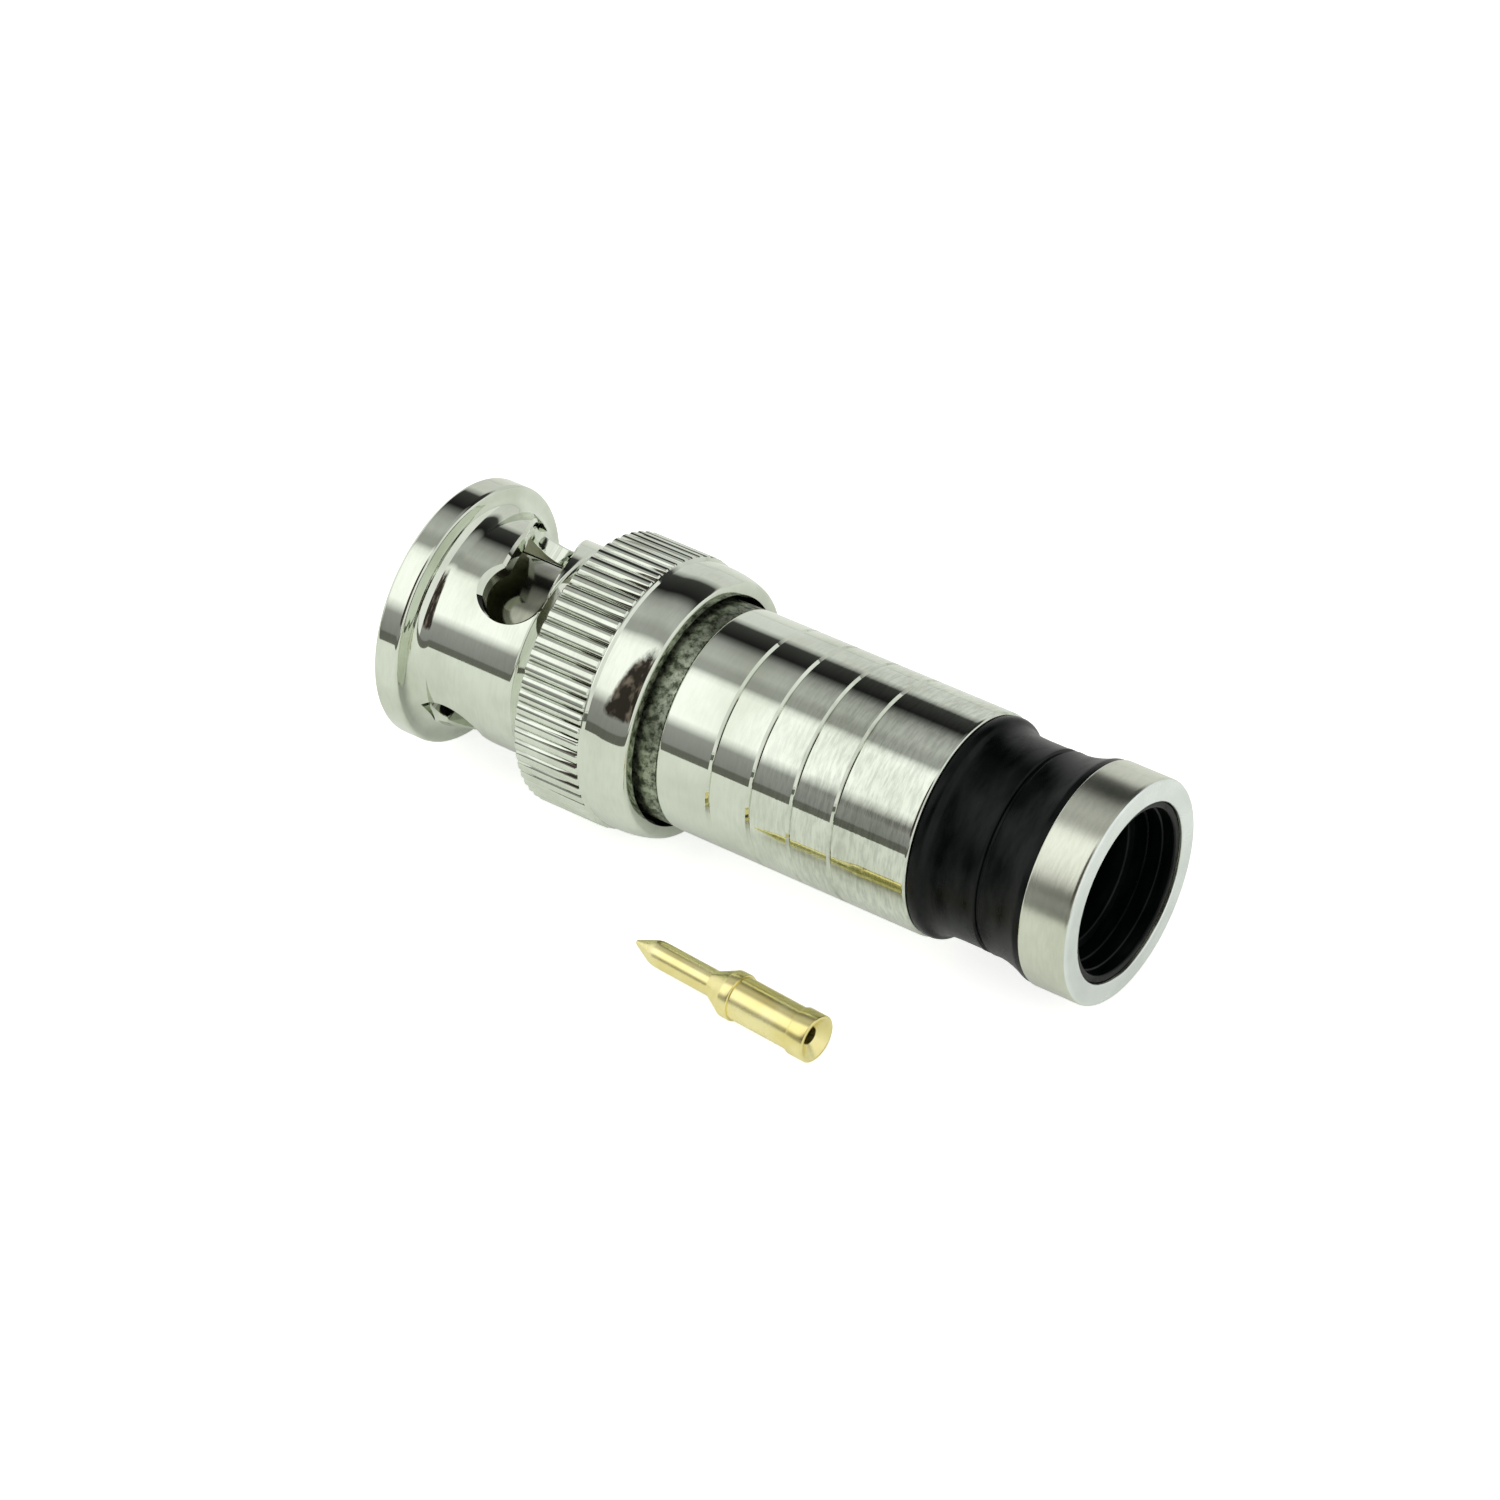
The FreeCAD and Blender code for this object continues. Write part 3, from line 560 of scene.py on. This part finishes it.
sleeveOutline = {
    "inside": [(28.6, 4.7), (28.6, 5.2), (29.0, 5.35), (32.66, 5.35)],
    "bead": [(32.66, 5.9), (32.72, 5.98), (32.85, 6.02), (33.1, 6.02), (33.24, 5.98), (33.34, 5.9)],
    "waist": [(33.42, 5.78), (33.6, 5.66), (33.9, 5.57), (34.3, 5.52), (34.8, 5.5), (36.0, 5.5), (36.2, 5.53),
              (36.34, 5.53), (36.41, 5.48), (36.46, 5.36), (36.6, 5.36), (36.65, 5.49), (36.74, 5.55), (36.9, 5.54)],
    "flare": [(37.2, 5.53), (37.7, 5.6), (38.15, 5.71), (38.55, 5.84), (38.85, 5.96), (39.0, 6.03), (39.1, 6.06),
              (39.4, 6.06)],
    "liner": [(39.4, 4.85), (42.0, 4.85), (42.0, 4.5), (41.3, 4.5), (41.25, 4.42), (40.5, 4.4), (40.45, 4.3),
              (39.75, 4.25), (39.7, 3.75), (30.2, 3.75)],
}


def makeSleeve():
    corners = [corner for part in sleeveOutline.values() for corner in part]
    sleeve = turnPiece("compression_sleeve_moulded", corners, steps=192)
    roundRims(sleeve, [(42.0, 4.5), (39.7, 3.75)], 0.1, 3)
    bpy.ops.object.mode_set(mode="OBJECT")
    finishPiece(sleeve, None, [sleevePolymer], ["compression_sleeve"], smooth=35)
    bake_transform(sleeve)
    return sleeve


makeSleeve()


# End ring

def makeRing():
    ring = turnPiece("end_ring_satin", [
        (39.4, 4.9), (39.4, 6.12), (39.5, 6.12), (41.9, 6.12), (42.2, 6.12), (42.2, 5.82), (42.2, 5.05), (42.2, 4.9)], steps=256)
    roundRims(ring, [(42.2, 6.12)], 0.25, 5)
    roundRims(ring, [(42.2, 4.9)], 0.1, 3)
    roundRims(ring, [(39.4, 6.12)], 0.08, 2)
    bpy.ops.object.mode_set(mode="OBJECT")
    finishPiece(ring, "ring", [ringNickel, faceNickel], ["end_ring"])
    # the face is turned flat and rougher, and painted paler than the outside: a painted highlight
    paintFaces(ring, lambda face: face.normal.x > 0.6)
    return ring


makeRing()
print("sleeve and end ring ready")


# Loose centre pin, turned on its own axis and laid on the floor

pinSizes = {"tip": (19.68, -11.07, -6.3), "turn": -5.1, "length": 11.9}


def makePin():
    pin = turnPiece("centre_pin_gold", [
        (0, 0.0), (0.0, 0.1), (0.08, 0.16), (1.35, 0.71), (1.65, 0.71), (5.1, 0.71), (5.2, 0.71), (6.35, 1.3), (6.95, 1.3),
        (6.95, 1.18), (10.8, 1.18),
        (10.8, 1.3), (11.9, 1.3), (11.9, 1.12), (11.45, 0.48), (7.4, 0.48), (7.4, 0.0),
    ], steps=96, closed=False)
    roundRims(pin, [(1.35, 0.71)], 0.25, 4)
    roundRims(pin, [(6.35, 1.3), (6.95, 1.3), (10.8, 1.3), (11.9, 1.3)], 0.06, 3)
    bpy.ops.object.mode_set(mode="OBJECT")
    pin.rotation_euler = (0, 0, math.radians(pinSizes["turn"]))
    pin.location = [value / 1000 for value in pinSizes["tip"]]
    return finishPiece(pin, "plug_body", [pinGold], ["centre_pin"])


makePin()


# Wave washer

def makeWaveWasher():
    washer = turnPiece("wave_washer_spring", [(9.925, 3.78), (9.925, 4.78), (10.175, 4.78), (10.175, 3.78)], steps=72)
    for step in range(72):
        pick(washer, lambda v: round(angleOf(v.co) / 5) % 72 == step)
        bpy.ops.transform.translate(value=(0.295 * math.cos(math.radians(15 * step)), 0, 0))
    bpy.ops.object.mode_set(mode="OBJECT")
    finishPiece(washer, "plug_body", [springSteel], ["wave_washer"])
    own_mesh(washer)
    return washer


makeWaveWasher()

# the small pieces inside keep their CAD shapes
for node, material in (("contact_insulator", insulatorPolymer), ("front_gasket", gasketRubber),
                       ("thrust_washer", springSteel), ("cable_post", contactNickel)):
    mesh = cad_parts[node].data
    mesh.materials.clear()
    mesh.materials.append(material)
print("pin and inner pieces ready")


# Studio: white floor and surroundings, one soft light, and a screen that the metal mirrors

studio = {
    "floorZ": -0.0076,
    "floorColour": "#D6D8D2",
    "floorGlow": 0.7,           # what the camera sees the floor glow with, so that it reads as white paper
    "floorMirrorGlow": 0.19,    # and what the metal sees
    "surround": 0.62,           # how strongly the white surroundings light matt surfaces
    "softboxLevel": 1.0,
    "softboxDistance": 0.5,
    "screenRadius": 0.45,
    "screenEnds": (-0.5, 0.3),
    # the screen's brightness by degrees round the X axis: 0 behind, 90 overhead, 180 in front
    "screenLevels": [
        (0, 0.82), (26, 0.8), (32, 0.42), (35, 0.06), (44, 0.04), (55, 0.015), (60, 0.15), (66, 0.36), (75, 0.53), (84, 0.59),
        (92, 0.45), (99, 0.45), (104, 1.1), (109, 1.34), (149, 1.34), (154, 0.95), (160, 0.38), (170, 0.33), (177, 0.3), (179.9, 0.18),
    ],
    "darkPatch": (98, 172, -0.13, 0.42, 0.04),     # from and to in degrees and along the axis, and its level
    "darkPatchLean": 0.15,                          # metres along the axis that it leans for each radian of turn
    "darkStrip": (0.065, 0.16),                     # where the dark strip on the floor begins, and its level
}


def glowMaterial(name):
    material = bpy.data.materials.new(name)
    material.use_nodes = True
    tree = material.node_tree
    tree.nodes.clear()
    glow = addNode(tree, "ShaderNodeEmission")
    addNode(tree, "ShaderNodeOutputMaterial", links={"Surface": glow.outputs["Emission"]})
    return material, tree, glow


def bendScreen(name, radius, start, end, front, rear):
    # A strip drawn along the axis and swept round it.
    screen = startPoint(name)
    first = math.radians(start)
    bpy.ops.transform.translate(value=(front, radius * math.cos(first), radius * math.sin(first)))
    bpy.ops.mesh.extrude_region_move(TRANSFORM_OT_translate={"value": (rear - front, 0, 0)})
    bpy.ops.mesh.select_all(action="SELECT")
    bpy.ops.mesh.spin(steps=90, angle=turnValue(end - start), center=(0, 0, 0), axis=(1, 0, 0))
    bpy.ops.object.mode_set(mode="OBJECT")
    hideFromLight(screen)
    return screen


def hideFromLight(card):
    # Only the metal's reflections see the card.
    for ray in ("camera", "diffuse", "shadow", "transmission", "volume_scatter"):
        setattr(card, f"visible_{ray}", False)


def makeScreens():
    left, right = studio["screenEnds"]
    screen = bendScreen("mirror_screen", studio["screenRadius"], 0, 181.2, left, right)
    material, tree, glow = glowMaterial("mirror_screen_light")
    parts = addNode(tree, "ShaderNodeSeparateXYZ", {}, {"Vector": addNode(tree, "ShaderNodeTexCoord").outputs["Object"]})
    # the height is raised a little, so that the angle doesn't jump where the screen passes below the axis
    lifted = addNode(tree, "ShaderNodeMath", {1: 0.02}, {0: parts.outputs["Z"]}, operation="ADD")
    turn = addNode(tree, "ShaderNodeMath", {}, {0: lifted.outputs["Value"], 1: parts.outputs["Y"]}, operation="ARCTAN2")
    share = addNode(tree, "ShaderNodeMapRange", {"From Min": -0.1, "From Max": math.pi}, {"Value": turn.outputs["Value"]})
    levels = rampNode(tree, share.outputs["Result"], [
        ((math.radians(angle) + 0.1) / (math.pi + 0.1), (level / 1.4, level / 1.4, level / 1.4, 1))
        for angle, level in studio["screenLevels"]])
    tree.links.new(levels.outputs["Color"], glow.inputs["Color"])
    glow.inputs["Strength"].default_value = 1.4
    screen.data.materials.append(material)

    # a dark shape with a soft ragged edge stands in the light, as the camera and its stand do
    start, end, front, rear, level = studio["darkPatch"]
    patch = bendScreen("dark_screen", studio["screenRadius"] * 0.97, start, end, left, right)
    material, tree, glow = glowMaterial("dark_screen_shade")
    glow.inputs["Color"].default_value = (level, level * 0.8, level * 0.7, 1)
    place = addNode(tree, "ShaderNodeTexCoord").outputs["Object"]
    parts = addNode(tree, "ShaderNodeSeparateXYZ", {}, {"Vector": place})
    cloud = addNode(tree, "ShaderNodeTexNoise", {"Scale": 14.0, "Detail": 5.0, "Roughness": 0.65}, {"Vector": place})
    turn = addNode(tree, "ShaderNodeMath", {}, {0: parts.outputs["Z"], 1: parts.outputs["Y"]}, operation="ARCTAN2")
    fromMiddle = addNode(tree, "ShaderNodeMath", {1: math.radians((start + end) / 2)}, {0: turn.outputs["Value"]},
                         operation="SUBTRACT")
    leaning = addNode(tree, "ShaderNodeMath", {1: studio["darkPatchLean"]},
                      {0: fromMiddle.outputs["Value"], 2: parts.outputs["X"]}, operation="MULTIPLY_ADD")
    specks = addNode(tree, "ShaderNodeTexNoise", {"Scale": 13.0, "Detail": 3.0}, {"Vector": place})
    lighter = addNode(tree, "ShaderNodeMapRange", {"From Min": 0.5, "From Max": 0.7, "To Min": 1.0, "To Max": 6.0},
                      {"Value": specks.outputs["Fac"]})
    tree.links.new(lighter.outputs["Result"], glow.inputs["Strength"])
    fades = [addNode(tree, "ShaderNodeMapRange", {"From Min": low, "From Max": high}, {"Value": source}).outputs["Result"]
             for source, low, high in (
                 (turn.outputs["Value"], math.radians(start), math.radians(start + 34)),
                 (turn.outputs["Value"], math.radians(end), math.radians(end - 8)),
                 (leaning.outputs["Value"], front, front + 0.1), (leaning.outputs["Value"], rear, rear - 0.12))]
    cover = cloud.outputs["Fac"]
    for fade in fades:
        cover = addNode(tree, "ShaderNodeMath", {}, {0: cover, 1: fade}, operation="MULTIPLY").outputs["Value"]
    solid = addNode(tree, "ShaderNodeMapRange", {"From Min": 0.1, "From Max": 0.27}, {"Value": cover})
    clear = addNode(tree, "ShaderNodeBsdfTransparent")
    both = addNode(tree, "ShaderNodeMixShader", {}, {"Fac": solid.outputs["Result"], 1: clear.outputs["BSDF"], 2: glow.outputs["Emission"]})
    tree.links.new(both.outputs["Shader"], tree.nodes["Material Output"].inputs["Surface"])
    patch.data.materials.append(material)

    # and a dark strip lies on the floor in front, where the paper ends
    near, level = studio["darkStrip"]
    deselectAll()
    bpy.ops.mesh.primitive_plane_add(size=1, location=((left + right) / 2, -(near + studio["screenRadius"]) / 2, studio["floorZ"] + 0.0002))
    strip = bpy.context.object
    strip.name = "dark_strip"
    strip.scale = (right - left, studio["screenRadius"] - near, 1)
    bpy.ops.object.transform_apply(location=True, rotation=True, scale=True)
    material, tree, glow = glowMaterial("dark_strip_shade")
    glow.inputs["Color"].default_value = (level, level, level * 0.9, 1)
    strip.data.materials.append(material)
    hideFromLight(strip)


def makeSoftbox():
    middle = math.radians(124)
    width, length = 0.65, 1.6
    bpy.ops.object.light_add(
        type="AREA", location=(0, studio["softboxDistance"] * math.cos(middle), studio["softboxDistance"] * math.sin(middle)),
        rotation=(math.atan2(-math.cos(middle), math.sin(middle)), 0, 0))
    light = bpy.context.object
    light.name = "softbox"
    light.data.shape = "RECTANGLE"
    light.data.size, light.data.size_y = length, width
    light.data.energy = studio["softboxLevel"] * math.pi * length * width
    light.visible_glossy = False    # the screen stands for it in the metal


def makeFloor():
    deselectAll()
    bpy.ops.mesh.primitive_plane_add(size=6, location=(0, 0, studio["floorZ"]))
    floor = bpy.context.object
    floor.name = "studio_floor"
    material, tree, glow = glowMaterial("studio_floor_paper")
    paper = addNode(tree, "ShaderNodeBsdfDiffuse", {"Color": linearColour(studio["floorColour"])})
    rays = addNode(tree, "ShaderNodeLightPath")
    seen = addNode(tree, "ShaderNodeMath", {1: studio["floorGlow"]}, {0: rays.outputs["Is Camera Ray"]}, operation="MULTIPLY")
    for ray in ("Is Glossy Ray", "Is Transmission Ray"):
        seen = addNode(tree, "ShaderNodeMath", {1: studio["floorMirrorGlow"]}, {0: rays.outputs[ray], 2: seen.outputs["Value"]},
                       operation="MULTIPLY_ADD")
    tree.links.new(seen.outputs["Value"], glow.inputs["Strength"])
    both = addNode(tree, "ShaderNodeAddShader", links={0: paper.outputs["BSDF"], 1: glow.outputs["Emission"]})
    tree.links.new(both.outputs["Shader"], tree.nodes["Material Output"].inputs["Surface"])
    floor.data.materials.append(material)


def makeWorld():
    world = bpy.data.worlds.new("white_surroundings")
    world.use_nodes = True
    bpy.context.scene.world = world
    tree = world.node_tree
    tree.nodes.clear()
    rays = addNode(tree, "ShaderNodeLightPath")
    seen = rays.outputs["Is Camera Ray"]
    for ray in ("Is Glossy Ray", "Is Transmission Ray"):
        seen = addNode(tree, "ShaderNodeMath", {}, {0: seen, 1: rays.outputs[ray]}, operation="MAXIMUM").outputs["Value"]
    level = addNode(tree, "ShaderNodeMapRange", {"To Min": studio["surround"], "To Max": 1.0}, {"Value": seen})
    sky = addNode(tree, "ShaderNodeBackground", {"Color": (1, 1, 1, 1)}, {"Strength": level.outputs["Result"]})
    addNode(tree, "ShaderNodeOutputWorld", links={"Surface": sky.outputs["Background"]})


makeFloor()
makeWorld()
makeSoftbox()
makeScreens()
print("studio ready")


# Camera at the photograph's angle

cameraSizes = {"target": (0.01898, 0.0, -0.00126), "azimuth": 34.96, "elevation": 37.89, "distance": 0.3109, "lens": 144}


def makeCamera():
    azimuth, elevation = math.radians(cameraSizes["azimuth"]), math.radians(cameraSizes["elevation"])
    back = (math.sin(azimuth) * math.cos(elevation), -math.cos(azimuth) * math.cos(elevation), math.sin(elevation))
    place = [t + cameraSizes["distance"] * b for t, b in zip(cameraSizes["target"], back)]
    bpy.ops.object.camera_add(location=place, rotation=(math.pi / 2 - elevation, 0, azimuth))
    camera = bpy.context.object
    camera.name = "photo_camera"
    camera.data.lens = cameraSizes["lens"]
    camera.data.sensor_width = 36
    camera.data.clip_start, camera.data.clip_end = 0.01, 20
    bpy.context.scene.camera = camera


makeCamera()
bpy.context.scene.view_settings.view_transform = "Standard"
